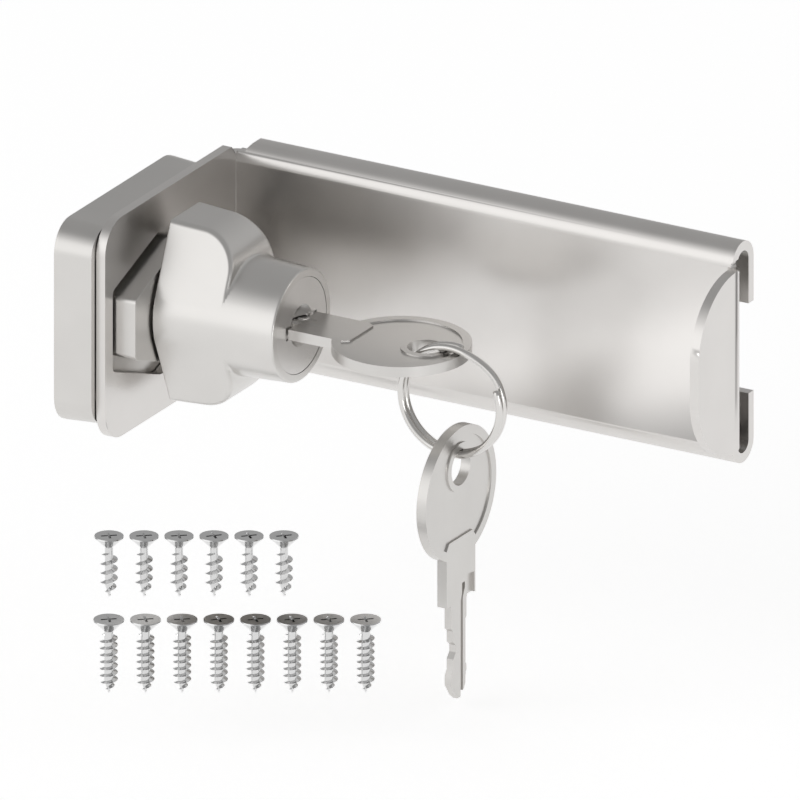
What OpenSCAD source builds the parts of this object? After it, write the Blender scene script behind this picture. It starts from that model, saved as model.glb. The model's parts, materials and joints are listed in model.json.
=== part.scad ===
// Keyed sliding patio door lock, shown locked with its key in the knob.
// The knob turns about the X axis. X runs away from the jamb along the arm,
// -Y faces the room and +Z is up. The origin is the middle of the base
// housing's back face, on the knob's axis.

/* [Base housing] */
// Width of the base housing across the jamb
base_w = 49; // [46:0.5:56]
// Height of the base housing
base_h = 42.2; // [40:0.2:50]
// Depth of the base housing from the jamb to its front face
base_d = 8.2; // [7.8:0.1:10]
// Corner radius of the base housing
base_r = 6; // [3:0.5:9]
// Draft angle of the base housing's cast sides
base_draft = 4; // [1:0.5:6]
// Length of the boss that fills the arm's window
boss_l = 37.5; // [36:0.1:38]
// Height of the boss at its two ends
boss_end = 12.4; // [9:0.2:13]
// Slope of the boss's and the window's sloping sides
boss_slope = 20; // [16:1:22]
// How far the boss stands out in front of the arm
boss_out = 4.7; // [3.6:0.1:7]
// Spacing of the four fixing holes across the base
fix_y = 37; // [34:0.5:40]
// Spacing of the four fixing holes up the base
fix_z = 30; // [27:0.5:32]

/* [Sliding arm] */
// Thickness of the arm's sheet metal
arm_t = 2; // [1.6:0.1:2.4]
// Height of the arm over its rolled hems
arm_h = 46.4; // [45:0.2:52]
// Length of the arm from the base to the end of its hems
arm_l = 114; // [100:1:160]
// Depth of the hems from the front of the web to their back
hem_d = 8.3; // [7.9:0.1:10]
// Height of the opening between the two lips
lip_gap = 18.9; // [16:0.1:22]
// How far the flange reaches past the knob's axis towards the room
flange_near = 22.4; // [21.5:0.1:26]
// Distance from the knob's axis to the front of the web
web_y = 28.8; // [27:0.1:34]
// Radius of the flange's two corners towards the room
flange_r = 6.5; // [3:0.5:9]
// Length of the window in the flange
window_l = 38.9; // [38.7:0.1:40]
// Height of the window at its two ends
window_end = 17; // [15:0.2:20]
// How low the arm hangs below the knob's axis
arm_drop = 0.9; // [0:0.1:1.2]
// Depth of the half-moon finger tab at the end of the arm
tab_d = 18.2; // [14:0.2:20]
// Half height of the finger tab
tab_half = 19; // [17:0.2:20]

/* [Mounting rail] */
// Thickness of the rail's wings inside the arm
wing_t = 3.2; // [2.4:0.1:3.4]
// Length of the rail
rail_l = 108.6; // [90:0.2:108.6]
// Distance between the outer pairs of screws in the rail
rail_pitch = 80; // [60:1:84]
// Spacing of the two screws of a pair
rail_pair = 9; // [8:0.2:10]

/* [Knob] */
// Thickness of the knob's head along its axis
head_t = 15.2; // [14:0.1:18]
// Half height of the head, tip to axis
head_half = 19.1; // [18.6:0.1:19.2]
// Width of the flat at the head's tips
head_tip = 11.8; // [10:0.2:12]
// Radius of the rounded front of the head's tips
head_round = 7.5; // [5:0.5:8]
// Diameter of the barrel at its face
barrel_d = 23; // [22.8:0.1:23.4]
// Draft angle of the knob's cast sides
knob_draft = 3; // [1:0.5:4]
// Diameter of the knob's neck in the base
neck_d = 13.9; // [13.5:0.1:14.5]

/* [Lock cylinder] */
// Diameter of the lock cylinder and of the plug's face
cyl_d = 19.6; // [19:0.1:20]
// Diameter of the turning plug
plug_d = 13.5; // [12.5:0.1:14]
// Throw radius of the crank that works the bolt
throw_r = 1.7; // [1.5:0.05:1.8]
// Number of wafers
wafer_n = 5; // [3:1:5]
// Spacing of the wafers
wafer_pitch = 2.5; // [2.2:0.1:2.8]

/* [Keys] */
// Radius of the key's round bow
bow_r = 13.8; // [12.5:0.1:15]
// Thickness of the bow and lugs
key_t = 2.15; // [1.9:0.05:2.4]
// Distance from the middle of the bow to the step on its neck
neck_at = 9.1; // [8:0.1:10]
// Distance from the middle of the bow to the shoulder
shoulder = 22.4; // [21:0.1:26]
// Width of the key over its lugs
lug_w = 11.2; // [10:0.1:11.6]
// Length of the blade beyond the shoulder, which sets how long the knob is
blade_l = 20.5; // [18.6:0.1:24]
// Width of the blade
blade_w = 6.6; // [6:0.1:7]
// Thickness of the blade
blade_t = 1.5; // [1.2:0.05:1.7]
// Depth of the grooves along the blade
groove_d = 0.5; // [0.3:0.05:0.55]
// Radius of the hole in the bow
hole_r = 3.7; // [3.3:0.1:4.2]
// Distance from the middle of the bow to the hole
hole_at = 5.5; // [4.5:0.1:6.5]
// Mean radius of the split ring
ring_r = 11.1; // [10.5:0.1:13]
// Thickness of the split ring's wire
wire_d = 1.5; // [1.2:0.05:1.6]

/* [Loose screws] */
// Number of short screws, for the rail
short_n = 6; // [4:1:6]
// Number of long screws, for the base
long_n = 8; // [4:1:8]
// Length of a short screw
short_l = 12.9; // [11:0.1:15]
// Length of a long screw
long_l = 15.5; // [14:0.1:18]
// Head diameter of a short screw
short_head = 5.9; // [5.4:0.1:6.2]
// Head diameter of a long screw
long_head = 6.2; // [5.8:0.1:6.4]
// Diameter of a short screw's shank
short_core = 2.2; // [1.8:0.1:2.6]
// Diameter of a long screw's shank
long_core = 2.4; // [2:0.1:2.8]
// Level on which the screws' points stand
kit_z = -62; // [-64:0.5:-60]

/* [Hidden] */
$fn = 96;
eps = 0.01;
steel = [0.66, 0.64, 0.61];
satin = [0.74, 0.72, 0.70];
bright = [0.80, 0.79, 0.77];
zinc = [0.82, 0.83, 0.84];
brass = [0.78, 0.66, 0.38];
nylon = [0.90, 0.89, 0.85];

// Places along the knob's axis
arm_gap = 0.2;
arm_x = base_d + arm_gap;
boss_x = arm_x + arm_t + boss_out;
washer_t = 0.4;
washer_r = 10.5;
head_x = boss_x + washer_t;
barrel_x = head_x + head_t;
seat_x = head_x + 3.5;
crank_t = 1.4;
crank_gap = 0.8;
tip_gap = 0.4;
key_gap = 0.3;
cap_gap = 0.1;
face_x = seat_x + crank_gap + crank_t + tip_gap + blade_l - key_gap + cap_gap;
wall = 10;

// Running parts behind the base
run = 0.05;
recess_d = 5.2;
disc_t = 1.4;
spring_h = 0.7;
spring_t = 0.35;
disc_x = recess_d - spring_h - disc_t;
clip_t = 1;
clip_x = disc_x - clip_t;
stub_x = 1.2;
stub_r = 5;
stub_flat = 4;
groove = 0.7;
disc_r = 9.9;
lug_r = 12;
lug_a = 30;
turn = 90;
play = 0.15;
stop_a = turn + lug_a + 4;

// Bolt in the knob's neck
bolt_x = recess_d + 5.7;
bolt_t = 2.6;
bolt_hw = 3.8;
nose_hw = 2;
pin_r = 0.75;
pin_play = 0.15;
lift = throw_r * sqrt(2);
nose_z = neck_d / 2 - 0.5;
foot_at = 6.2;
bolt_foot = lift / 2 - foot_at;
bolt_head = nose_z - lift - 1.6;
pocket_z = nose_z + lift + 0.3;
keeper_x = bolt_x + bolt_t + 0.1;
stop_end = seat_x + 4.9;
stop_r = 1.25;

// Lock cylinder
plug_face = face_x - cap_gap;
flange_t = 1.6;
shell_end = plug_face - flange_t - 0.1;
key_x = plug_face + key_gap;
mouth_d = 0.4;
plug_end = key_x - blade_l - tip_gap;
crank_x = plug_end - crank_t;
crank_r = 3;
dog_l = 1.7;
keyway_w = blade_w + 0.4;
keyway_t = blade_t + 0.4;
clip_at = plug_end + 0.8;
clip_w = 0.9;
wafer_t = 1;
wafer_hw = 3.4;
wafer_x = key_x - 5.2;

// Sheet-metal arm and rail
hem_x = base_d + arm_t + 1.8;
end_x = base_d + arm_l + 0.4;
tab_x = end_x + 1.7;
bend_r = 3;
fold_r = 2.4;
fold_x = arm_x + arm_t;
fold_y = web_y + arm_t - fold_r;
web_half = arm_h / 2 - 1.7;
flange_half = arm_h / 2 - 0.15;
hem_y = web_y + hem_d / 2;
curl_y = web_y + arm_t + 0.6;
relief_r = 0.72;
lip_y = web_y + hem_d;
wing_y = web_y + arm_t + (hem_d - 2 * arm_t - wing_t) / 2;
foot_gap = 0.6;
door_y = lip_y + foot_gap;
foot_hw = lip_gap / 2 - 0.5;
wing_hw = arm_h / 2 - 4.4;
rail_x = arm_x + 0.4;
ear_l = hem_x - rail_x - 0.2;
ear_hw = foot_hw + 5;
hole_d = 3.9;
sink = 0.4;

// Keys and ring
bow_x = key_x + shoulder;
rim_r = bow_r - 1.85;
dish = 0.35;
eye_x = bow_x + hole_at;
eye_edge = eye_x + hole_r;
hook_x = eye_edge - 0.15;
bow_end = bow_x + bow_r;
ring_x = (hook_x + bow_end) / 2;
ring_in = ring_r - wire_d / 2;
seat_gap = 0.03;
ring_z = key_t / 2 - sqrt(pow(ring_in - seat_gap, 2) - pow((bow_end - hook_x) / 2, 2));
spare_x = ring_x + 0.9;
hang_x = abs(spare_x - ring_x) + key_t / 2;
wire_z = ring_z - sqrt(pow(ring_r, 2) - pow(hang_x, 2));
eye_z = wire_z - sqrt(pow(hole_r - wire_d / 2, 2) - pow(wire_d / 2, 2)) + seat_gap;

// Rows in which the loose screws stand
row_a = 30;
short_at = [2.9, -7.9];
long_at = [28.6, -52.5];
short_step = 6.85;
long_step = 7.18;

function unit(v) = v / norm(v);

// Points of the arc that rounds corner p between neighbours a and b
function corner(a, p, b, r, n) =
    let (u = unit(a - p), v = unit(b - p), h = acos(u * v) / 2, c = p + unit(u + v) * r / sin(h),
         s = p + u * r / tan(h) - c, e = p + v * r / tan(h) - c,
         a0 = atan2(s[1], s[0]), sweep = (atan2(e[1], e[0]) - a0 + 540) % 360 - 180)
    [for (i = [0:n]) c + r * [cos(a0 + sweep * i / n), sin(a0 + sweep * i / n)]];

// A polygon's points with each corner rounded by its own radius
function soft(pts, rs, n = 8) =
    let (m = len(pts))
    [for (i = [0:m - 1]) each corner(pts[(i + m - 1) % m], pts[i], pts[(i + 1) % m], rs[i], n)];

function box_pts(w, h) = [[-w / 2, -h / 2], [w / 2, -h / 2], [w / 2, h / 2], [-w / 2, h / 2]];

// Six-sided outline with upright ends, shared by the boss and the window
function hex_pts(l, end) =
    let (top = end / 2 + l / 2 * tan(boss_slope))
    [[-l / 2, -end / 2], [0, -top], [l / 2, -end / 2], [l / 2, end / 2], [0, top], [-l / 2, end / 2]];

// Outline of the knob's head: two tapering wings tangent to the barrel
function head_pts(inset) =
    let (r = barrel_d / 2 + (face_x - head_x) * tan(knob_draft) - inset,
         w = head_tip / 2 - inset, h = head_half - inset, d = norm([w, h]),
         t = atan2(h, w) - acos(r / d), n = 6,
         side = [for (i = [-n:n]) r * [cos(t * i / n), sin(t * i / n)]],
         tip = [each corner(r * [cos(t), sin(t)], [w, h], [-w, h], 1.5, 4),
                each corner([w, h], [-w, h], r * [-cos(t), sin(t)], 1.5, 4)])
    [each side, each tip, each [for (p = side) -p], each [for (p = tip) -p]];

// Lays a flat outline across the knob's axis from x0 to x1
module slab(x0, x1) {
    translate([x0, 0, 0]) rotate([90, 0, 90]) linear_extrude(x1 - x0) children();
}

// Slice of a disc between two angles
module sector(r, from, to) {
    intersection() {
        circle(r);
        polygon([[0, 0], for (i = [0:3]) 2 * r * [cos(from + (to - from) * i / 3), sin(from + (to - from) * i / 3)]]);
    }
}

// Turned about the knob's axis: the profile's x is a radius, its y is X
module turned() {
    rotate([90, 0, 90]) rotate_extrude() children();
}

module rod(x0, x1, r, y = 0, z = 0) {
    translate([x0, y, z]) rotate([0, 90, 0]) cylinder(h = x1 - x0, r = r);
}

module loft(x0, x1) {
    hull() {
        slab(x0, x0 + eps) children(0);
        slab(x1 - eps, x1) children(1);
    }
}

// Straight hole with a countersink that opens towards +X
module sunk_hole(x0, x1, d, head) {
    rod(x0 - 1, x1 + 1, d / 2);
    translate([x1 - (head - d) / 2 - sink, 0, 0]) rotate([0, 90, 0])
        cylinder(h = (head - d) / 2, r1 = d / 2, r2 = head / 2);
    rod(x1 - sink, x1 + 1, head / 2);
}

module fixings() {
    for (y = [-1, 1], z = [-1, 1]) translate([0, y * fix_y / 2, z * fix_z / 2]) children();
}

module base_housing() {
    shrink = 2 * (base_d - 1) * tan(base_draft);
    color(satin) difference() {
        union() {
            slab(0, 1) polygon(soft(box_pts(base_w, base_h), [for (i = [0:3]) base_r]));
            loft(1, base_d) {
                polygon(soft(box_pts(base_w, base_h), [for (i = [0:3]) base_r]));
                polygon(soft(box_pts(base_w - shrink, base_h - shrink), [for (i = [0:3]) base_r - shrink / 2]));
            }
            slab(base_d - eps, boss_x) polygon(soft(hex_pts(boss_l, boss_end), [1.2, 4, 1.2, 1.2, 4, 1.2]));
        }
        rod(-1, boss_x + 1, neck_d / 2 + run);
        slab(-1, recess_d) {
            circle(disc_r + play);
            sector(lug_r + play, -stop_a / 2, stop_a / 2);
        }
        fixings() sunk_hole(0, base_d, hole_d, long_head + 2 * sink);
        for (a = [0, 90]) rotate([-a, 0, 0])
            translate([bolt_x - 0.15, -nose_hw - 0.15, 0]) cube([bolt_t + 0.3, 2 * nose_hw + 0.3, pocket_z]);
    }
}

module thrust_washer() {
    color(nylon) difference() {
        rod(boss_x, head_x, washer_r);
        rod(boss_x - 1, head_x + 1, neck_d / 2 + 0.15);
    }
}

module spring_washer() {
    color(steel) turned() polygon([
        [neck_d / 2 + 0.2, recess_d - spring_h], [disc_r - 0.3, recess_d - spring_t],
        [disc_r - 0.3, recess_d], [neck_d / 2 + 0.2, recess_d - spring_h + spring_t]]);
}

module stub(r, flat) {
    intersection() {
        circle(r);
        square([2 * r + 1, 2 * flat], center = true);
    }
}

module stop_washer() {
    color(steel) difference() {
        slab(disc_x, disc_x + disc_t) {
            circle(disc_r);
            sector(lug_r, turn / 2 - lug_a / 2, turn / 2 + lug_a / 2);
        }
        slab(disc_x - 1, disc_x + disc_t + 1) stub(stub_r + 0.08, stub_flat + 0.08);
    }
}

// Open ring that snaps into a groove
module snap_ring(x0, x1, r_in, r_out, gap) {
    difference() {
        rod(x0, x1, r_out);
        rod(x0 - 1, x1 + 1, r_in);
        translate([x0 - 1, -gap / 2, -r_out - 1]) cube([x1 - x0 + 2, gap, r_out]);
    }
}

module retaining_ring() {
    color(steel) snap_ring(clip_x, disc_x, stub_r - groove, stub_r + 1.6, 3.2);
}

// Section of the arm across its length: the web and its two rolled hems
module hem_section() {
    difference() {
        stadium(hem_d, arm_h);
        stadium(hem_d - 2 * arm_t, arm_h - 2 * arm_t);
        translate([hem_d / 2 - arm_t - eps, -lip_gap / 2]) square([arm_t + 1, lip_gap]);
    }
}

module stadium(w, h) {
    square([w, h - w], center = true);
    for (s = [-1, 1]) translate([0, s * (h - w) / 2]) circle(w / 2);
}

// Sheet bent round an outer radius, drawn in plan and standing half up each way
module bend(x, y, r, half) {
    translate([x, y, -half]) linear_extrude(2 * half) intersection() {
        difference() {
            circle(r);
            circle(r - arm_t);
        }
        children();
    }
}

module sliding_arm() {
    tab_r = 15;
    color(satin) translate([0, 0, -arm_drop]) difference() {
        union() {
            slab(arm_x, fold_x) difference() {
                polygon(soft([[-flange_near, -flange_half], [web_y - 1.6, -flange_half], [fold_y, -web_half],
                              [fold_y, web_half], [web_y - 1.6, flange_half], [-flange_near, flange_half]],
                             [flange_r, 0.3, 1, 1, 0.3, flange_r]));
                polygon(soft(hex_pts(window_l, window_end), [1.5, 4, 1.5, 1.5, 4, 1.5]));
            }
            bend(arm_x + fold_r, fold_y, fold_r, web_half) translate([-fold_r, 0]) square(fold_r);
            slab(fold_x, hem_x + eps) intersection() {
                translate([hem_y, 0]) hem_section();
                translate([web_y, -web_half]) square([curl_y - web_y, 2 * web_half]);
            }
            slab(hem_x, end_x) translate([hem_y, 0]) hem_section();
            bend(tab_x - bend_r, web_y + arm_t - bend_r, bend_r, tab_half) square(bend_r);
            slab(tab_x - arm_t, tab_x) intersection() {
                translate([web_y + arm_t - tab_d + tab_r, 0]) {
                    for (s = [-1, 1]) translate([0, s * (tab_half - tab_r)]) circle(tab_r);
                    square([2 * tab_r, 2 * (tab_half - tab_r)], center = true);
                }
                translate([0, -tab_half]) square([web_y + arm_t - bend_r, 2 * tab_half]);
            }
        }
        slab(fold_x, hem_x + 2) difference() {
            translate([web_y - 1, -arm_h / 2]) square([hem_d / 2 + 1, arm_h]);
            translate([hem_y, 0]) stadium(hem_d, arm_h);
        }
        for (s = [0, 1]) mirror([0, 0, s]) {
            hem_notch();
            tab_relief();
        }
        arm_end_trim();
    }
}

// Notch between the flange and a hem: level at the fold, then rising on a slant
module hem_notch() {
    top = arm_h / 2 + 1;
    translate([0, lip_y + 1, 0]) rotate([90, 0, 0]) linear_extrude(hem_d + 2)
        polygon(soft([[fold_x, web_half], [hem_x - 0.35, web_half], [hem_x + 0.9, arm_h / 2 - 0.1],
                      [hem_x + 2, arm_h / 2 + 0.1], [hem_x + 2, top], [fold_x, top]],
                     [0.01, 0.9, 0.9, 0.01, 0.01, 0.01]));
}

// Round-ended slot that frees the tab from the hem
module tab_relief() {
    translate([end_x + 0.3, web_y - 0.5, tab_half + 0.42]) rotate([-90, 0, 0]) {
        cylinder(h = arm_t + 1, r = relief_r);
        translate([0, -relief_r, 0]) cube([bend_r, 2 * relief_r, arm_t + 1]);
    }
}

// Clears the flat end of the web where the tab bends forward
module arm_end_trim() {
    translate([tab_x - bend_r, web_y - 0.5, -tab_half]) difference() {
        cube([bend_r + 1, arm_t + 0.5 + eps, 2 * tab_half]);
        translate([0, 0.5 + arm_t - bend_r, -1]) cylinder(h = 2 * tab_half + 2, r = bend_r);
    }
}

module mounting_rail() {
    color(steel) translate([0, 0, -arm_drop]) difference() {
        union() {
            slab(rail_x, rail_x + rail_l) translate([wing_y, -wing_hw]) square([wing_t, 2 * wing_hw]);
            slab(rail_x, rail_x + rail_l) translate([wing_y, -foot_hw]) square([door_y - wing_y, 2 * foot_hw]);
            slab(rail_x, rail_x + ear_l) translate([wing_y, -ear_hw]) square([door_y - wing_y, 2 * ear_hw]);
        }
        for (i = [-1:1], s = [-1, 1])
            translate([rail_x + rail_l / 2 + i * rail_pitch / 2, wing_y, s * rail_pair / 2]) rotate([0, 0, -90])
                translate([wing_y - door_y, 0, 0]) sunk_hole(0, door_y - wing_y, hole_d, short_head + 2 * sink);
    }
}

module knob_body() {
    back_r = barrel_d / 2 + (face_x - head_x) * tan(knob_draft);
    edge = 0.5;
    tip_x = barrel_x - head_round;
    color(bright) difference() {
        union() {
            turned() polygon([[0, head_x], [back_r, head_x], [barrel_d / 2 + edge * tan(knob_draft), face_x - edge],
                              each corner([barrel_d / 2, face_x - 2], [barrel_d / 2, face_x], [0, face_x], edge, 4),
                              [0, face_x]]);
            intersection() {
                loft(head_x, barrel_x) {
                    polygon(head_pts(0));
                    polygon(head_pts(head_t * tan(knob_draft)));
                }
                translate([0, back_r + 1, 0]) rotate([90, 0, 0]) linear_extrude(2 * back_r + 2)
                    polygon(soft([[head_x, -head_half - 1], [barrel_x, -head_half + 0.5], [barrel_x, head_half - 0.5],
                                  [head_x, head_half + 1]], [0.01, head_round, head_round, 0.01], 12));
            }
            rod(disc_x + disc_t, head_x + 1, neck_d / 2);
            difference() {
                slab(stub_x, disc_x + disc_t + eps) stub(stub_r, stub_flat);
                difference() {
                    rod(clip_x - 0.05, disc_x, stub_r + 1);
                    rod(clip_x - 1, disc_x + 1, stub_r - groove - 0.05);
                }
            }
        }
        rod(seat_x, face_x + 1, cyl_d / 2 + 0.03);
        translate([bolt_x - 0.1, -bolt_hw - 0.1, bolt_foot - 0.3])
            cube([wall, 2 * bolt_hw + 0.2, bolt_head + lift + 0.6 - bolt_foot]);
        translate([bolt_x - 0.1, -nose_hw - 0.1, 0]) cube([head_x - bolt_x + 0.1, 2 * nose_hw + 0.2, neck_d]);
        rod(head_x - 1, stop_end + 0.1, stop_r + 0.01, 0, -cyl_d / 2);
    }
}

module bolt_keeper() {
    color(brass) difference() {
        translate([keeper_x, -bolt_hw, bolt_foot - 0.2])
            cube([seat_x - keeper_x, 2 * bolt_hw, bolt_head + lift + 0.4 - bolt_foot]);
        rod(keeper_x - 1, seat_x + 1, crank_r + 0.1);
    }
}

// Flat bolt with a rounded nose, drawn back into the neck; the crank works in its slot
module locking_bolt() {
    pin_y = -throw_r / sqrt(2);
    slot_r = pin_r + pin_play;
    color(steel) slab(bolt_x, bolt_x + bolt_t) difference() {
        union() {
            translate([-bolt_hw, bolt_foot]) square([2 * bolt_hw, bolt_head - bolt_foot]);
            intersection() {
                translate([-nose_hw, 0]) square([2 * nose_hw, neck_d]);
                circle(nose_z);
            }
        }
        translate([-throw_r - slot_r, pin_y - slot_r]) square([throw_r + 2 * slot_r + pin_y, 2 * slot_r]);
    }
}

module cylinder_shell() {
    color(brass) difference() {
        rod(seat_x, shell_end, cyl_d / 2);
        rod(seat_x - 1, shell_end + 1, plug_d / 2 + run);
        rod(seat_x - 1, clip_at + clip_w + 0.1, plug_d / 2 + 1.3);
        rod(seat_x - 1, stop_end + 0.1, stop_r + 0.01, 0, -cyl_d / 2);
    }
}

module cylinder_pin() {
    color(steel) rod(head_x + 0.3, stop_end, stop_r, 0, -cyl_d / 2);
}

module plug_clip() {
    color(steel) snap_ring(clip_at, clip_at + clip_w, plug_d / 2 - groove, plug_d / 2 + 1, 4);
}

module dogs(grow) {
    for (s = [-1, 1]) translate([plug_end - 0.5, -1.25 - grow, s * 4.2 - 1.2 - grow])
        cube([dog_l + grow, 2.5 + 2 * grow, 2.4 + 2 * grow]);
}

module lock_plug() {
    dimple_r = 4.3;
    dimple_d = 2.2;
    ball_r = (pow(dimple_r, 2) + pow(dimple_d, 2)) / (2 * dimple_d);
    color(bright) difference() {
        union() {
            rod(plug_end, shell_end + 0.1 + eps, plug_d / 2);
            rod(shell_end + 0.1, plug_face, cyl_d / 2 - 0.05);
        }
        translate([plug_end - 1, -keyway_w / 2, -keyway_t / 2]) cube([plug_face - plug_end + 2, keyway_w, keyway_t]);
        translate([plug_face - mouth_d, -lug_w / 2 - 0.4, -key_t / 2 - 0.3]) cube([2, lug_w + 0.8, key_t + 0.6]);
        translate([plug_face + ball_r - dimple_d, 0, 0]) sphere(ball_r);
        difference() {
            rod(clip_at - 0.05, clip_at + clip_w + 0.05, plug_d);
            rod(clip_at - 1, clip_at + clip_w + 1, plug_d / 2 - groove - 0.05);
        }
        for (i = [0:wafer_n - 1]) translate([wafer_x - i * wafer_pitch - 0.05, -plug_d, -wafer_hw - 0.1])
            cube([wafer_t + 0.1, 2 * plug_d, 2 * wafer_hw + 0.2]);
        dogs(0.05);
    }
}

module wafers() {
    color(brass) for (i = [0:wafer_n - 1])
        slab(wafer_x - i * wafer_pitch, wafer_x - i * wafer_pitch + wafer_t) difference() {
            intersection() {
                circle(plug_d / 2 - 0.05);
                square([plug_d, 2 * wafer_hw], center = true);
            }
            square([keyway_w, keyway_t], center = true);
        }
}

// Crank on the back of the plug; its pin stands off the axis, at a slant when at rest
module tail_crank() {
    off = -throw_r / sqrt(2);
    color(brass) {
        rod(crank_x, plug_end, plug_d / 2 - 0.6);
        rod(keeper_x + 0.1, crank_x + eps, crank_r);
        rod(bolt_x + 0.2, keeper_x + 0.2, pin_r, off, off);
        intersection() {
            dogs(0);
            rod(plug_end - eps, plug_end + dog_l, plug_d / 2);
        }
    }
}

// Outline of the blade, shoulder at 0 and tip at -blade_l, with its cuts
function blade_pts() =
    let (h = blade_w / 2, t = -blade_l)
    [[1, -h], [-5.2, -h], [-5.9, -h + 0.8], [-8.2, -h + 0.8], [-9.1, -h + 1.8], [-10.6, -h + 1.8],
     [-11.8, -h + 0.8], [-13.9, -h + 0.8], [-15.1, -h], [t + 3.4, -h], [t, -0.9], [t, 1], [t + 3.8, h - 0.3],
     [-16.2, h - 0.3], [-15.8, h], [-14.7, h], [-14.2, h - 0.4], [-5, h - 0.4], [-4.5, h], [1, h]];

// V-shaped groove in the blade's upper face that runs out to a point beyond the shoulder
module v_groove(y, w, end) {
    low = blade_t / 2 - groove_d;
    high = key_t / 2 + 0.2;
    half = w / 2 * (high - low) / groove_d;
    section = [[y - half, high], [y + half, high], [y, low]];
    translate([-blade_l - 1, 0, 0]) slab(0, blade_l + 1 + eps) polygon(section);
    hull() {
        slab(0, eps) polygon(section);
        translate([end * (high - low) / (key_t / 2 - low), y, high]) cube(eps);
    }
}

// A key lying flat, shoulder at the origin and bow towards +X
module key() {
    neck_x = shoulder - neck_at;
    step_in = 4.6;
    step_out = 5.9;
    pocket_floor = blade_t / 2 - 0.35;
    difference() {
        union() {
            translate([0, 0, -key_t / 2]) linear_extrude(key_t) {
                translate([shoulder, 0]) circle(bow_r);
                translate([0, -lug_w / 2]) square([shoulder, lug_w]);
            }
            translate([0, 0, -blade_t / 2]) linear_extrude(blade_t) polygon(blade_pts());
        }
        for (s = [0, 1]) mirror([0, 0, s])
            translate([0, 0, key_t / 2 - dish]) linear_extrude(1) difference() {
                translate([shoulder, 0]) circle(rim_r);
                polygon([[0, -bow_r], [neck_x - 1.8, -bow_r], [neck_x - 1.8, -step_out], [neck_x, -step_in],
                         [neck_x, step_in], [neck_x - 1.8, step_out], [neck_x - 1.8, bow_r], [0, bow_r]]);
                translate([shoulder + hole_at, 0]) circle(hole_r + 1.35);
            }
        v_groove(1.3, 1, 2.9);
        v_groove(-0.9, 1.2, 4.9);
        mirror([0, 0, 1]) {
            v_groove(1.05, 1.3, 3.8);
            translate([-blade_l - 1, 2.3, pocket_floor]) cube([blade_l + 1 + eps, blade_w, 1]);
            translate([0, 0, pocket_floor]) linear_extrude(key_t)
                polygon([[-eps, 2.3], [4.7, 2.3], [4.3, lug_w / 2 - 0.4], [-eps, lug_w / 2 - 0.4]]);
        }
        translate([shoulder + hole_at, 0, -key_t]) cylinder(h = 2 * key_t, r = hole_r);
    }
}

module door_key() {
    color(bright) translate([key_x, 0, 0]) key();
}

module spare_key() {
    color(bright) translate([spare_x, 0, eye_z - hole_at - shoulder]) rotate([0, -90, 0]) key();
}

module ring_arc(angle, r) {
    rotate_extrude(angle = angle) translate([ring_r, 0]) circle(r, $fn = 48);
}

// Split ring: two turns side by side, joined by one slanting stretch of the wire
module split_ring() {
    lead = 22;
    span = 58;
    full = 360;
    half_pitch = wire_d / 2 + 0.02;
    tilt = asin(half_pitch / (ring_r * sin(span / 2)));
    color(bright) translate([ring_x, 0, ring_z]) rotate([90, 0, 0]) {
        for (s = [-1, 1]) translate([0, 0, s * half_pitch]) rotate([0, 0, lead + span])
            ring_arc(full - span, wire_d / 2);
        rotate([0, 0, lead + span / 2]) rotate([tilt, 0, 0]) rotate([0, 0, -span / 2])
            ring_arc(span, wire_d / 2 - eps);
        for (s = [-1, 1]) rotate([0, 0, s < 0 ? lead : lead + span]) translate([ring_r, 0, s * half_pitch])
            sphere(wire_d / 2 + 2 * eps);
    }
}

// Countersunk screw standing on its point, cross recess in its head
module screw(l, head, core) {
    cone = (head - core) / 2;
    tip = 2.6;
    rim = 0.2;
    difference() {
        union() {
            cylinder(h = tip, r1 = 0.05, r2 = core / 2);
            translate([0, 0, tip]) cylinder(h = l - tip - cone - rim, r = core / 2);
            translate([0, 0, l - cone - rim]) cylinder(h = cone, r1 = core / 2, r2 = head / 2);
            translate([0, 0, l - rim]) cylinder(h = rim, r = head / 2);
        }
        for (a = [0, 90]) rotate([0, 0, a + row_a]) translate([-1.6, -0.35, l - 1]) cube([3.2, 0.7, 2]);
    }
}

module row(n, at, step) {
    for (i = [0:n - 1]) translate([at[0] + i * step * cos(row_a), at[1] + i * step * sin(row_a), kit_z]) children();
}

module short_screws() {
    color(zinc) row(short_n, short_at, short_step) screw(short_l, short_head, short_core);
}

module long_screws() {
    color(zinc) row(long_n, long_at, long_step) screw(long_l, long_head, long_core);
}

base_housing();
thrust_washer();
spring_washer();
stop_washer();
retaining_ring();
sliding_arm();
mounting_rail();
knob_body();
bolt_keeper();
locking_bolt();
cylinder_shell();
cylinder_pin();
plug_clip();
lock_plug();
wafers();
tail_crank();
door_key();
split_ring();
spare_key();
short_screws();
long_screws();
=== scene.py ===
import json
import math

import bmesh
import bpy
import numpy as np
from mathutils import Matrix, Vector


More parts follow.
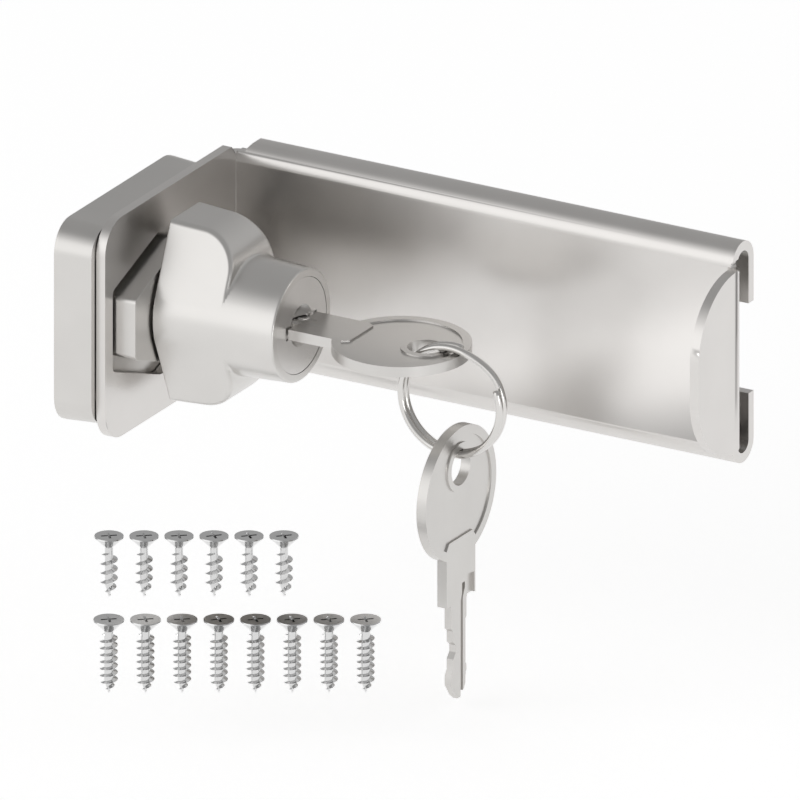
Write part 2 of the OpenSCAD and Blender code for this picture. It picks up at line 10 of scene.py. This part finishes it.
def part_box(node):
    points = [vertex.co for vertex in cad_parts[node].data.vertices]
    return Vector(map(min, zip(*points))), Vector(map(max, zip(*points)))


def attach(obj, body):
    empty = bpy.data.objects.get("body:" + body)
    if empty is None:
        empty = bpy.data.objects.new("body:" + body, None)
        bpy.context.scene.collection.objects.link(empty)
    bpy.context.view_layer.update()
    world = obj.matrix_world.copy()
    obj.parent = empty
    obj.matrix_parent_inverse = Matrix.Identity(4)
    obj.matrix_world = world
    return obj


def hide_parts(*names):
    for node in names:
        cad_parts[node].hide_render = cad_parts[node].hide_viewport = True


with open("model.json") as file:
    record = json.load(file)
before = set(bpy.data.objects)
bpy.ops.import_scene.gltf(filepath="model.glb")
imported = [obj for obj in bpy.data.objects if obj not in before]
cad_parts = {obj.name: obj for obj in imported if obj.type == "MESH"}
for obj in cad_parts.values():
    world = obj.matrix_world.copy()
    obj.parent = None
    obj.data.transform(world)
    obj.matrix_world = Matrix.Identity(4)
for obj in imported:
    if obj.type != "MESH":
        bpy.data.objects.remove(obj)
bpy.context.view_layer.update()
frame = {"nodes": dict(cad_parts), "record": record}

mm = 0.001               # sizes below are in millimetres, Blender's units are metres
scene = bpy.context.scene


# Nodes and their arithmetic: a Wire is a socket that can be added, subtracted and multiplied

class Wire:
    def __init__(self, nodes, socket):
        self.nodes = nodes
        self.socket = socket

    def maths(self, operation, other):
        return self.nodes.node("ShaderNodeMath", {"operation": operation}, {0: self, 1: other})

    def __add__(self, other):
        return self.maths("ADD", other)

    def __sub__(self, other):
        return self.maths("SUBTRACT", other)

    def __mul__(self, other):
        return self.maths("MULTIPLY", other)

    __radd__ = __add__


class Nodes:
    def __init__(self, tree):
        self.tree = tree
        tree.nodes.clear()

    # One way to make a node: its type, its settings, then the values or wires of its sockets.
    # A list holds several wires for one socket.
    def node(self, kind, settings=None, sockets=None, out=0):
        made = self.tree.nodes.new(kind)
        for key, value in (settings or {}).items():
            if key == "stops":
                setStops(made.color_ramp, value)
            else:
                setattr(made, key, value)
        for key, value in (sockets or {}).items():
            wires = value if isinstance(value, list) else [value]
            if isinstance(wires[0], Wire):
                for wire in wires:
                    self.tree.links.new(wire.socket, made.inputs[key])
            else:
                made.inputs[key].default_value = value
        return Wire(self, made.outputs[out]) if made.outputs else None


def grey(level):
    return (level, level, level, 1)


def setStops(ramp, stops):
    while len(ramp.elements) > 1:
        ramp.elements.remove(ramp.elements[-1])
    for i, (place, level) in enumerate(stops):
        stop = ramp.elements[0] if i == 0 else ramp.elements.new(place)
        stop.position = place
        stop.color = grey(level)


def newMaterial(name):
    material = bpy.data.materials.new(name)
    material.use_nodes = True
    return material, Nodes(material.node_tree)


# Finishes: scales are per metre, and light and dark are shares of the tint

plating = {"speck": 5200, "speckDetail": 2, "speckRough": 0.6, "patch": 70, "patchDetail": 3,
           "patchRough": 0.04, "light": 1.05, "dark": 0.93, "bump": 0.35}
nylon = {"speck": 1800, "speckDetail": 2, "grain": 0.1, "dark": 0.9, "bump": 0.3, "depth": 0.01}


def shadeOf(tint, share):
    return (*(min(1.0, c * share) for c in tint), 1)


def plated(name, tint, rough, grain=0.03, depth=0.006, streak=(1, 1, 1)):
    material, shade = newMaterial(name)
    place = shade.node("ShaderNodeTexCoord", out=3)
    drawn = shade.node("ShaderNodeMapping", {}, {"Vector": place, "Scale": streak})
    fine = shade.node("ShaderNodeTexNoise", {},
                      {"Vector": drawn, "Scale": plating["speck"], "Detail": plating["speckDetail"],
                       "Roughness": plating["speckRough"]})
    broad = shade.node("ShaderNodeTexNoise", {},
                       {"Vector": place, "Scale": plating["patch"], "Detail": plating["patchDetail"]})
    roughness = rough + (fine - 0.5) * grain + (broad - 0.5) * plating["patchRough"]
    colour = shade.node("ShaderNodeMix", {"data_type": "RGBA"},
                        {"Factor": broad, "A": shadeOf(tint, plating["dark"]),
                         "B": shadeOf(tint, plating["light"])}, out=2)
    bump = shade.node("ShaderNodeBump", {},
                      {"Strength": plating["bump"], "Distance": depth * mm, "Height": fine})
    surface = shade.node("ShaderNodeBsdfPrincipled", {},
                         {"Base Color": colour, "Metallic": 1.0, "Roughness": roughness, "Normal": bump})
    shade.node("ShaderNodeOutputMaterial", {}, {"Surface": surface})
    return material


def moulded(name, tint, rough):
    material, shade = newMaterial(name)
    place = shade.node("ShaderNodeTexCoord", out=3)
    fine = shade.node("ShaderNodeTexNoise", {},
                      {"Vector": place, "Scale": nylon["speck"], "Detail": nylon["speckDetail"]})
    colour = shade.node("ShaderNodeMix", {"data_type": "RGBA"},
                        {"Factor": fine, "A": shadeOf(tint, nylon["dark"]), "B": (*tint, 1)}, out=2)
    bump = shade.node("ShaderNodeBump", {},
                      {"Strength": nylon["bump"], "Distance": nylon["depth"] * mm, "Height": fine})
    roughness = rough + (fine - 0.5) * nylon["grain"]
    surface = shade.node("ShaderNodeBsdfPrincipled", {},
                         {"Base Color": colour, "Roughness": roughness, "Normal": bump})
    shade.node("ShaderNodeOutputMaterial", {}, {"Surface": surface})
    return material


finishes = {
    "housing_nickel": plated("housingNickel", (0.66, 0.645, 0.625), 0.30, grain=0.02, depth=0.003),
    "knob_nickel": plated("knobNickel", (0.69, 0.675, 0.655), 0.29, grain=0.02, depth=0.002),
    "arm_nickel": plated("armNickel", (0.72, 0.70, 0.68), 0.3, grain=0.02, depth=0.003,
                         streak=(0.08, 1, 1)),
    "key_nickel": plated("keyNickel", (0.65, 0.635, 0.615), 0.30, grain=0.02, depth=0.003),
    "plug_nickel": plated("plugNickel", (0.72, 0.705, 0.69), 0.28, grain=0.02, depth=0.003),
    "ring_steel": plated("ringSteel", (0.70, 0.685, 0.665), 0.16, grain=0.02),
    "screw_zinc": plated("screwZinc", (0.71, 0.71, 0.71), 0.13, grain=0.02),
    "rail_steel": plated("railSteel", (0.7, 0.7, 0.69), 0.38),
    "inner_steel": plated("innerSteel", (0.62, 0.62, 0.61), 0.35),
    "inner_brass": plated("innerBrass", (0.78, 0.62, 0.34), 0.32),
    "washer_nylon": moulded("washerNylon", (0.80, 0.79, 0.75), 0.5),
}


# Mesh tools

def addObject(name, mesh):
    made = bpy.data.objects.new(name, mesh)
    scene.collection.objects.link(made)
    return made


def dress(piece, slot, body, *nodes):
    piece.data.materials.clear()
    piece.data.materials.append(finishes[slot])
    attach(piece, body)
    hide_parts(*nodes)


# Applies what modifiers are left, so that a finished piece is a plain mesh
def settle(piece):
    bpy.context.view_layer.update()
    mesh = bpy.data.meshes.new_from_object(piece.evaluated_get(bpy.context.evaluated_depsgraph_get()))
    piece.modifiers.clear()
    piece.data = mesh
    return piece


def fromBmesh(name, bm):
    mesh = bpy.data.meshes.new(name)
    bm.to_mesh(mesh)
    bm.free()
    return addObject(name, mesh)


# Copies a solid, merges its loose triangles and melts its flat faces together
melting = {"merge": 0.001, "angle": 0.4}


def melted(node):
    bm = bmesh.new()
    bm.from_mesh(frame["nodes"][node].data)
    bmesh.ops.remove_doubles(bm, verts=bm.verts, dist=melting["merge"] * mm)
    bmesh.ops.dissolve_limit(bm, angle_limit=math.radians(melting["angle"]),
                             verts=bm.verts, edges=bm.edges)
    return bm


def cutAway(piece, tool):
    cut = piece.modifiers.new("cut", "BOOLEAN")
    cut.operation = "DIFFERENCE"
    cut.object = tool
    cut.solver = "EXACT"
    settle(piece)
    bpy.data.objects.remove(tool)
    return piece


# Eases the sharp edges of a piece, as tumbling and plating do: width, steps and least angle
edges = {"housing": (0.9, 4, 40), "arm": (0.25, 3, 35), "rail": (0.25, 2, 35), "plug": (0.12, 2, 35),
         "key": (0.15, 2, 35)}


def ease(piece, width, steps, angle):
    bevel = piece.modifiers.new("edges", "BEVEL")
    bevel.width = width * mm
    bevel.segments = steps
    bevel.limit_method = "ANGLE"
    bevel.angle_limit = math.radians(angle)
    bevel.miter_outer = "MITER_ARC"
    for polygon in piece.data.polygons:
        polygon.use_smooth = True
    weighted = piece.modifiers.new("normals", "WEIGHTED_NORMAL")
    weighted.keep_sharp = True
    return settle(piece)


def easedCopy(name, node):
    return ease(fromBmesh(name, melted(node)), *edges[name])


# Inside corner of the arm's fold, bent over a small radius
fold = {"x": 10.4, "y": 28.8, "reach": 0.05, "radius": 0.7, "steps": 5}


def filletFold(bm):
    x, y, reach = fold["x"] * mm, fold["y"] * mm, fold["reach"] * mm
    corner = [edge for edge in bm.edges
              if all(math.hypot(vertex.co.x - x, vertex.co.y - y) < reach for vertex in edge.verts)]
    bmesh.ops.bevel(bm, geom=corner, offset=fold["radius"] * mm, segments=fold["steps"], profile=0.5,
                    affect="EDGES", clamp_overlap=True)
    return bm


# Knob: a smooth field of signed distances, so that its cast edges and hollows flow together.
# The grid's cells are one step wide, and the rooms are how far it reaches round the knob.

knob = {
    "back": 15.5, "crease": 30.7, "face": 41.9, "faceRadius": 11.5, "draft": 3.0,
    "half": 19.1, "tip": 5.9, "tipRound": 7.5,
    "edge": 0.85, "faceEdge": 0.35, "hollow": 0.5, "backEdge": 0.3,
    "bore": 9.83, "boreBehind": 3, "boreBefore": 1, "boreSlack": 0.01, "boreSides": 160,
    "step": 0.235, "roomX": 1, "roomY": 14.5, "roomZ": 20.5,
}


# Rounded meeting of two distances: an outer edge, and a hollow where they are turned about
def roundEdge(a, b, r):
    return np.minimum(-r, np.maximum(a, b)) + np.hypot(np.maximum(a + r, 0), np.maximum(b + r, 0))


def roundHollow(a, b, r):
    return -roundEdge(-a, -b, r)


def knobField(x, y, z):
    k = knob
    slope = math.tan(math.radians(k["draft"]))
    across, up = np.abs(y), np.abs(z)
    shrink = (x - k["back"]) * slope
    # Side planes run past the tips and touch the barrel
    rootR = k["faceRadius"] + (k["face"] - k["back"]) * slope
    lean = math.atan2(k["half"], k["tip"]) - math.acos(rootR / math.hypot(k["tip"], k["half"]))
    plane = across * math.cos(lean) + up * math.sin(lean) - rootR + shrink
    drum = np.hypot(y, z) - k["faceRadius"] - (k["face"] - x) * slope
    side = np.where(up * math.cos(lean) > across * math.sin(lean), plane, drum)
    lid = roundEdge(up - k["half"] + shrink, x - k["crease"], k["tipRound"])
    wings = roundEdge(side, roundHollow(lid, drum, k["hollow"]), k["edge"])
    body = roundEdge(np.minimum(wings, drum), x - k["face"], k["faceEdge"])
    return roundEdge(body, k["back"] - x, k["backEdge"])


# A field's distance and direction at each point. Where it is nearly flat, the distance is held back.
gradient = {"reach": 0.02, "least": 0.3, "tiny": 1e-9}


def steepest(field, points):
    here = field(*points.T)
    steps = gradient["reach"] * np.eye(3)
    slope = np.stack([field(*(points + step).T) - field(*(points - step).T) for step in steps], 1)
    slope = slope / (2 * gradient["reach"])
    length = np.linalg.norm(slope, axis=1, keepdims=True)
    return here / np.maximum(length[:, 0], gradient["least"]), slope / np.maximum(length, gradient["tiny"])


# Turns a field into a mesh: one point for each cell that the surface crosses, drawn onto the surface
def meshOf(name, field, low, high, step, rounds=8):
    low, high = np.array(low, float), np.array(high, float)
    count = np.ceil((high - low) / step).astype(int) + 1
    axes = [low[i] + step * np.arange(count[i]) for i in range(3)]
    inside = field(*np.meshgrid(*axes, indexing="ij")) < 0
    cells = tuple(n - 1 for n in count)
    filled = np.zeros(cells, int)
    for i in (0, 1):
        for j in (0, 1):
            for k in (0, 1):
                filled += inside[i:i + cells[0], j:j + cells[1], k:k + cells[2]]
    crossed = (filled > 0) & (filled < 8)
    number = np.full(cells, -1)
    number[crossed] = np.arange(crossed.sum())
    points = low + step * (np.argwhere(crossed) + 0.5)
    for _ in range(rounds):
        distance, slope = steepest(field, points)
        points -= np.clip(distance, -step / 2, step / 2)[:, None] * slope
    faces = []
    for axis in range(3):
        u, v = [(1, 2), (2, 0), (0, 1)][axis]
        a = np.take(inside, range(0, count[axis] - 1), axis)
        b = np.take(inside, range(1, count[axis]), axis)
        for turned, flips in ((False, a & ~b), (True, ~a & b)):
            at = np.argwhere(flips)
            at = at[(at[:, u] > 0) & (at[:, v] > 0) & (at[:, u] < cells[u]) & (at[:, v] < cells[v])]
            corners = []
            for du, dv in ((0, 0), (-1, 0), (-1, -1), (0, -1)):
                near = at.copy()
                near[:, u] += du
                near[:, v] += dv
                corners.append(number[tuple(near.T)])
            quads = np.stack(corners, 1)
            faces.append(quads[:, ::-1] if turned else quads)
    faces = np.concatenate(faces)
    mesh = bpy.data.meshes.new(name)
    mesh.from_pydata((points * mm).tolist(), [], faces.tolist())
    mesh.update()
    _, slope = steepest(field, points)
    mesh.normals_split_custom_set_from_vertices(slope.tolist())
    return addObject(name, mesh)


def makeKnob():
    k = knob
    shell = meshOf("knob", knobField, (k["back"] - k["roomX"], -k["roomY"], -k["roomZ"]),
                   (k["face"] + k["roomX"], k["roomY"], k["roomZ"]), k["step"])
    for polygon in shell.data.polygons:
        polygon.use_smooth = True
    print("knob shell:", len(shell.data.polygons), "faces")
    return shell


def boreKnob(piece):
    low, high = knob["back"] - knob["boreBehind"], knob["face"] + knob["boreBefore"]
    bm = bmesh.new()
    bmesh.ops.create_cone(bm, cap_ends=True, segments=knob["boreSides"], radius1=knob["bore"] * mm,
                          radius2=knob["bore"] * mm, depth=(high - low) * mm)
    bm.transform(Matrix.Translation(((low + high) / 2 * mm, 0, 0)) @ Matrix.Rotation(math.pi / 2, 4, "Y"))
    return cutAway(piece, fromBmesh("cutter", bm))


# Points the bored shell's normals along its field again, and those of the bore at the axis
def trueNormals(piece):
    mesh = piece.data
    points = np.array([vertex.co for vertex in mesh.vertices]) / mm
    _, slope = steepest(knobField, points)
    inward = np.column_stack([np.zeros(len(points)), -points[:, 1], -points[:, 2]])
    inward /= np.maximum(np.linalg.norm(inward, axis=1, keepdims=True), gradient["tiny"])
    normals = []
    for polygon in mesh.polygons:
        polygon.use_smooth = True
        away = math.hypot(polygon.center.y, polygon.center.z)
        inBore = away < (knob["bore"] + knob["boreSlack"]) * mm
        normals += [(inward if inBore else slope)[i] for i in polygon.vertices]
    mesh.normals_split_custom_set([tuple(normal) for normal in normals])


# Split ring: two turns of wire side by side with one slanting stretch between them.
# Lead and span are degrees: where that stretch starts, and how far it goes.

ring = {"radius": 11.1, "wire": 1.5, "gap": 0.04, "lead": 22, "span": 58, "sides": 20, "steps": 260,
        "endEase": 0.2}


def smoothStep(t):
    t = min(1.0, max(0.0, t))
    return t * t * (3 - 2 * t)


def makeRing():
    low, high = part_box("split_ring")
    centre = (low + high) / 2
    half = (ring["wire"] + ring["gap"]) / 2
    start, finish = ring["lead"] + ring["span"], 720 + ring["lead"]
    sweep = math.radians(finish - start) * ring["radius"]
    side = Vector((0, -1, 0))
    bm = bmesh.new()
    loops = []
    for i in range(ring["steps"] + 1):
        turn = start + (finish - start) * i / ring["steps"]
        along = sweep * i / ring["steps"]
        left = min(along, sweep - along)
        r = ring["wire"] / 2
        if left < ring["endEase"]:
            r -= ring["endEase"] - left
        rise = half * (2 * smoothStep((turn - 360 - ring["lead"]) / ring["span"]) - 1)
        a = math.radians(turn)
        out = Vector((math.cos(a), 0, math.sin(a)))
        middle = centre + mm * (out * ring["radius"] + side * rise)
        loops.append([bm.verts.new(middle + mm * r * (out * math.cos(b) + side * math.sin(b)))
                      for b in (2 * math.pi * j / ring["sides"] for j in range(ring["sides"]))])
    for one, two in zip(loops, loops[1:]):
        for j in range(ring["sides"]):
            k = (j + 1) % ring["sides"]
            bm.faces.new((one[j], one[k], two[k], two[j])).smooth = True
    bm.faces.new(loops[0])
    bm.faces.new(reversed(loops[-1]))
    bmesh.ops.recalc_face_normals(bm, faces=bm.faces)
    return fromBmesh("splitRing", bm)


# Loose screws, made and set in a row by geometry nodes

class Growth(Nodes):
    def __init__(self, name, sizes):
        super().__init__(bpy.data.node_groups.new(name, "GeometryNodeTree"))
        face = self.tree.interface
        face.new_socket("Geometry", in_out="OUTPUT", socket_type="NodeSocketGeometry")
        for label, kind in sizes.items():
            face.new_socket(label, in_out="INPUT", socket_type="NodeSocket" + kind)
        self.given = self.tree.nodes.new("NodeGroupInput")
        self.result = self.tree.nodes.new("NodeGroupOutput")

    def size(self, label):
        return Wire(self, self.given.outputs[label])

    def maths(self, operation, *values):
        return self.node("ShaderNodeMath", {"operation": operation}, dict(enumerate(values)))

    def vector(self, x, y, z):
        return self.node("ShaderNodeCombineXYZ", {}, {0: x, 1: y, 2: z})

    def ranged(self, value, low, high, first, last):
        return self.node("ShaderNodeMapRange", {}, {"Value": value, "From Min": low, "From Max": high,
                                                    "To Min": first, "To Max": last})

    def place(self):
        return self.node("GeometryNodeInputPosition")

    def height(self):
        return self.node("ShaderNodeSeparateXYZ", {}, {0: self.place()}, out=2)

    def move(self, geometry, z, turn=(0, 0, 0)):
        return self.node("GeometryNodeTransform", {}, {"Geometry": geometry, "Rotation": turn,
                                                       "Translation": self.vector(0.0, 0.0, z)})


screwRows = {
    "short": {"count": 6, "first": (2.9, -7.9, -62), "step": 6.85, "length": 12.9, "head": 5.9,
              "core": 1.6, "thread": 3.5, "pitch": 1.94, "shank": 1.1, "tip": 2.6},
    "long": {"count": 8, "first": (28.6, -52.5, -62), "step": 7.18, "length": 15.5, "head": 6.2,
             "core": 1.8, "thread": 3.6, "pitch": 1.43, "shank": 0.7, "tip": 2.6},
}
# What both rows share. Taper, fit, start, end and flank are shares, spin is in radians.
screwKit = {
    "rowTurn": 30, "crossTurn": 42, "recess": 2.1, "recessWide": 0.5, "recessDeep": 1.7,
    "recessTaper": 0.5, "rim": 0.22, "rimEdge": 0.09, "point": 0.03, "stemSides": 32, "headSides": 64,
    "threadFoot": 0.3, "threadSteps": 230, "threadFit": 0.98, "threadStart": 0.1, "threadEnd": 0.4,
    "flank": 0.21, "spin": 0.08, "spinSeed": 7, "crease": 24,
}
screwLengths = ("step", "length", "head", "core", "thread", "pitch", "shank", "tip",
                "recess", "recessWide", "recessDeep", "rim")


def screwTree():
    kit = screwKit
    g = Growth("screwRow", {"count": "Int", **dict.fromkeys(screwLengths, "Float"),
                            "rowTurn": "Float", "finish": "Material"})
    length, head, core, pitch, tip, rim, deep = (
        g.size(label) for label in ("length", "head", "core", "pitch", "tip", "rim", "recessDeep"))
    headDepth = (head - core) * 0.5
    headBase = length - rim - headDepth
    cone = "GeometryNodeMeshCone"
    point = g.node(cone, {}, {"Vertices": kit["stemSides"], "Radius Top": core * 0.5,
                              "Radius Bottom": kit["point"] * mm, "Depth": tip})
    stem = g.move(g.node("GeometryNodeMeshCylinder", {},
                         {"Vertices": kit["stemSides"], "Radius": core * 0.5, "Depth": headBase - tip}), tip)
    stem = g.move(stem, (headBase - tip) * 0.5)
    sink = g.move(g.node(cone, {}, {"Vertices": kit["headSides"], "Radius Top": head * 0.5,
                                    "Radius Bottom": core * 0.5, "Depth": headDepth}), headBase)
    top = g.move(g.node(cone, {}, {"Vertices": kit["headSides"], "Radius Top": head * 0.5 - kit["rimEdge"] * mm,
                                   "Radius Bottom": head * 0.5, "Depth": rim}), length - rim)
    crown = g.node("GeometryNodeMeshBoolean", {"operation": "UNION", "solver": "EXACT"}, {"Mesh": [sink, top]})
    # Cross recess: two tapering bars, cut into the head one after the other
    for turn in (kit["crossTurn"], kit["crossTurn"] + 90):
        bar = g.node("GeometryNodeMeshCube", {},
                     {"Size": g.vector(g.size("recess") * 2.0, g.size("recessWide"), deep * 2.0)})
        narrow = g.ranged(g.height(), deep * -1.0, 0.0, kit["recessTaper"], 1.0)
        tapered = g.node("ShaderNodeVectorMath", {"operation": "MULTIPLY"},
                         {0: g.place(), 1: g.vector(narrow, 1.0, 1.0)})
        bar = g.node("GeometryNodeSetPosition", {}, {"Geometry": bar, "Position": tapered})
        bar = g.move(bar, length, (0, 0, math.radians(turn)))
        crown = g.node("GeometryNodeMeshBoolean", {"operation": "DIFFERENCE", "solver": "EXACT"},
                       {"Mesh 1": crown, "Mesh 2": bar})
    # Thread: a helix whose radius follows the point's cone
    threadTop = headBase - g.size("shank")
    rise = g.node("GeometryNodeCurvePrimitiveLine", {},
                  {"Start": (0, 0, kit["threadFoot"] * mm), "End": g.vector(0.0, 0.0, threadTop)})
    line = g.node("GeometryNodeResampleCurve", {}, {"Curve": rise, "Count": kit["threadSteps"]})
    height = g.height()
    turned = g.maths("DIVIDE", height, pitch) * (2 * math.pi)
    grown = g.ranged(height, 0.0, tip, kit["threadStart"], 1.0)
    faded = g.ranged(height, threadTop - pitch * 0.5, threadTop, 1.0, kit["threadEnd"])
    radius = core * 0.5 * grown * kit["threadFit"]
    helix = g.vector(g.maths("COSINE", turned) * radius, g.maths("SINE", turned) * radius, height)
    helix = g.node("GeometryNodeSetPosition", {}, {"Geometry": line, "Position": helix})
    helix = g.node("GeometryNodeSetCurveNormal", {"mode": "Z_UP"}, {"Curve": helix})
    blade = g.node("GeometryNodeCurvePrimitiveQuadrilateral", {"mode": "KITE"},
                   {"Width": g.size("thread") - core, "Bottom Height": pitch * kit["flank"],
                    "Top Height": pitch * kit["flank"]})
    thread = g.node("GeometryNodeCurveToMesh", {}, {"Curve": helix, "Profile Curve": blade,
                                                    "Fill Caps": True, "Scale": grown * faded})
    body = g.node("GeometryNodeJoinGeometry", {}, {"Geometry": [point, stem, crown, thread]})
    # The row
    pace = g.vector(g.maths("COSINE", g.size("rowTurn")) * g.size("step"),
                    g.maths("SINE", g.size("rowTurn")) * g.size("step"), 0.0)
    stand = g.node("GeometryNodeMeshLine", {}, {"Count": g.size("count"), "Offset": pace})
    spin = g.node("FunctionNodeRandomValue", {"data_type": "FLOAT_VECTOR"},
                  {"Min": (0, 0, -kit["spin"]), "Max": (0, 0, kit["spin"]), "Seed": kit["spinSeed"]})
    placed = g.node("GeometryNodeInstanceOnPoints", {}, {"Points": stand, "Instance": body, "Rotation": spin})
    solid = g.node("GeometryNodeRealizeInstances", {}, {"Geometry": placed})
    smooth = g.node("GeometryNodeSetShadeSmooth", {"domain": "FACE"},
                    {"Geometry": solid, "Shade Smooth": True})
    crease = g.node("FunctionNodeCompare", {"operation": "GREATER_THAN"},
                    {"A": g.node("GeometryNodeInputMeshEdgeAngle"), "B": math.radians(kit["crease"])})
    smooth = g.node("GeometryNodeSetShadeSmooth", {"domain": "EDGE"},
                    {"Geometry": smooth, "Selection": crease, "Shade Smooth": False})
    last = g.node("GeometryNodeSetMaterial", {}, {"Geometry": smooth, "Material": g.size("finish")})
    g.tree.links.new(last.socket, g.result.inputs[0])
    return g.tree


def screwRow(name, tree, kind):
    sizes = {**screwKit, **screwRows[kind]}
    piece = addObject(name, bpy.data.meshes.new(name))
    grow = piece.modifiers.new("row", "NODES")
    grow.node_group = tree
    values = {"count": sizes["count"], "rowTurn": math.radians(sizes["rowTurn"]),
              "finish": finishes["screw_zinc"], **{label: sizes[label] * mm for label in screwLengths}}
    for item in tree.interface.items_tree:
        if item.in_out == "INPUT":
            grow[item.identifier] = values[item.name]
    settle(piece)
    piece.data.transform(Matrix.Translation(Vector(sizes["first"]) * mm))
    return piece


# Pieces

def paintSolids():
    slots = {part["node"]: part["material_slot"] for part in frame["record"]["subparts"]}
    for node, solid in frame["nodes"].items():
        solid.data.materials.clear()
        solid.data.materials.append(finishes[slots[node]])
    print("solids painted")


def dressLock():
    knobPiece = boreKnob(makeKnob())
    trueNormals(knobPiece)
    dress(knobPiece, "knob_nickel", "knob", "knob_body")
    dress(easedCopy("housing", "base_housing"), "housing_nickel", "base", "base_housing")
    armPiece = fromBmesh("arm", filletFold(melted("sliding_arm")))
    dress(ease(armPiece, *edges["arm"]), "arm_nickel", "arm", "sliding_arm")
    dress(easedCopy("rail", "mounting_rail"), "rail_steel", "rail", "mounting_rail")
    dress(easedCopy("plug", "lock_plug"), "plug_nickel", "plug", "lock_plug")
    print("lock dressed")


# Square-walled slot milled along one face of both keys, in the key's own axes from its shoulder
keySlot = {"low": (-21.5, 0.4, -1.3), "high": (3.4, 1.5, -0.15),
           "inserted": (42.1, 0, 0), "hanging": (76.825, 0, -50.6)}


def slottedKey(name, node, place, turn):
    piece = fromBmesh(name, melted(node))
    low, high = Vector(keySlot["low"]), Vector(keySlot["high"])
    bm = bmesh.new()
    bmesh.ops.create_cube(bm, size=1)
    bm.transform(Matrix.Translation(Vector(place) * mm) @ Matrix.Rotation(math.radians(turn), 4, "Y")
                 @ Matrix.Translation((low + high) / 2 * mm) @ Matrix.Diagonal((*((high - low) * mm), 1)))
    return ease(cutAway(piece, fromBmesh("cutter", bm)), *edges["key"])


def dressKeys():
    dress(slottedKey("insertedKey", "door_key", keySlot["inserted"], 0), "key_nickel", "key", "door_key")
    dress(slottedKey("hangingKey", "spare_key", keySlot["hanging"], -90), "key_nickel", "spare", "spare_key")
    dress(makeRing(), "ring_steel", "ring", "split_ring")
    print("keys and ring dressed")


def dressScrews():
    tree = screwTree()
    dress(screwRow("shortScrews", tree, "short"), "screw_zinc", "base", "short_screws")
    dress(screwRow("longScrews", tree, "long"), "screw_zinc", "base", "long_screws")
    print("screws threaded")


# Studio: a plain white floor under the lock and a soft room that is brightest at the front left.
# Room stops are grey levels from the side opposite the brightest to the brightest.

studio = {
    "floorPlace": (50, 0, -73), "floorSize": (4000, 4000), "floorPaper": 0.8, "floorGlow": 0.6,
    "brightTowards": (-0.5, -0.85, 0.08),
    "room": [(0.0, 0.6), (0.28, 0.42), (0.78, 0.38), (0.94, 1.0), (1.0, 1.04)],
    "lampTarget": (50, 0, -10),
}
lamps = {
    "softbox": {"place": (-330, -560, 180), "size": (700, 500), "power": 0.3},
    "rimStrip": {"place": (470, -265, -150), "size": (150, 420), "power": 0.6},
}


# White paper, which glows for the rays that show the background and is plain for the rest
def makeFloor():
    bm = bmesh.new()
    bmesh.ops.create_grid(bm, x_segments=1, y_segments=1, size=0.5 * mm)
    bm.transform(Matrix.Translation(Vector(studio["floorPlace"]) * mm)
                 @ Matrix.Diagonal((*studio["floorSize"], 1, 1)))
    floor = fromBmesh("floor", bm)
    material, shade = newMaterial("floorPaper")
    path = shade.node("ShaderNodeLightPath")
    seen = path
    for ray in ("Is Glossy Ray", "Is Transmission Ray"):
        seen = shade.node("ShaderNodeMath", {"operation": "MAXIMUM"},
                          {0: seen, 1: Wire(shade, path.socket.node.outputs[ray])})
    paper = shade.node("ShaderNodeBsdfDiffuse", {}, {"Color": grey(studio["floorPaper"])})
    glow = shade.node("ShaderNodeEmission", {}, {"Color": grey(1), "Strength": studio["floorGlow"]})
    lit = shade.node("ShaderNodeAddShader", {}, {0: paper, 1: glow})
    surface = shade.node("ShaderNodeMixShader", {}, {0: seen, 1: paper, 2: lit})
    shade.node("ShaderNodeOutputMaterial", {}, {"Surface": surface})
    floor.data.materials.append(material)


def makeRoom():
    world = bpy.data.worlds.new("room")
    scene.world = world
    world.use_nodes = True
    shade = Nodes(world.node_tree)
    centre = tuple(Vector(studio["brightTowards"]).normalized())
    towards = shade.node("ShaderNodeVectorMath", {"operation": "DOT_PRODUCT"},
                         {0: shade.node("ShaderNodeTexCoord"), 1: centre}, out=1)
    level = shade.node("ShaderNodeValToRGB", {"stops": studio["room"]}, {0: towards * 0.5 + 0.5})
    glow = shade.node("ShaderNodeBackground", {}, {"Color": level, "Strength": 1.0})
    shade.node("ShaderNodeOutputWorld", {}, {"Surface": glow})


def makeLamps():
    for name, sizes in lamps.items():
        lamp = bpy.data.lights.new(name, "AREA")
        lamp.shape = "RECTANGLE"
        lamp.size, lamp.size_y = sizes["size"][0] * mm, sizes["size"][1] * mm
        lamp.energy = sizes["power"]
        made = bpy.data.objects.new(name, lamp)
        made.location = Vector(sizes["place"]) * mm
        aim = Vector(studio["lampTarget"]) - Vector(sizes["place"])
        made.rotation_euler = aim.to_track_quat("-Z", "Y").to_euler()
        scene.collection.objects.link(made)


# Camera: a parallel view, turned and raised as the photograph's is
shot = {"turn": 30, "rise": 21.4, "target": (64.1, 0, -11.3), "width": 156.56, "away": 900,
        "near": 10, "far": 10000}


def makeCamera():
    turn, rise = math.radians(shot["turn"]), math.radians(shot["rise"])
    back = Vector((math.sin(turn) * math.cos(rise), -math.cos(turn) * math.cos(rise), math.sin(rise)))
    data = bpy.data.cameras.new("camera")
    data.type = "ORTHO"
    data.ortho_scale = shot["width"] * mm
    data.clip_start, data.clip_end = shot["near"] * mm, shot["far"] * mm
    camera = bpy.data.objects.new("camera", data)
    camera.location = Vector(shot["target"]) * mm + back * shot["away"] * mm
    camera.rotation_euler = (-back).to_track_quat("-Z", "Y").to_euler()
    scene.collection.objects.link(camera)
    scene.camera = camera


paintSolids()
dressLock()
dressKeys()
dressScrews()
makeFloor()
makeRoom()
makeLamps()
makeCamera()
print("studio ready")
scene.view_settings.view_transform = "Standard"
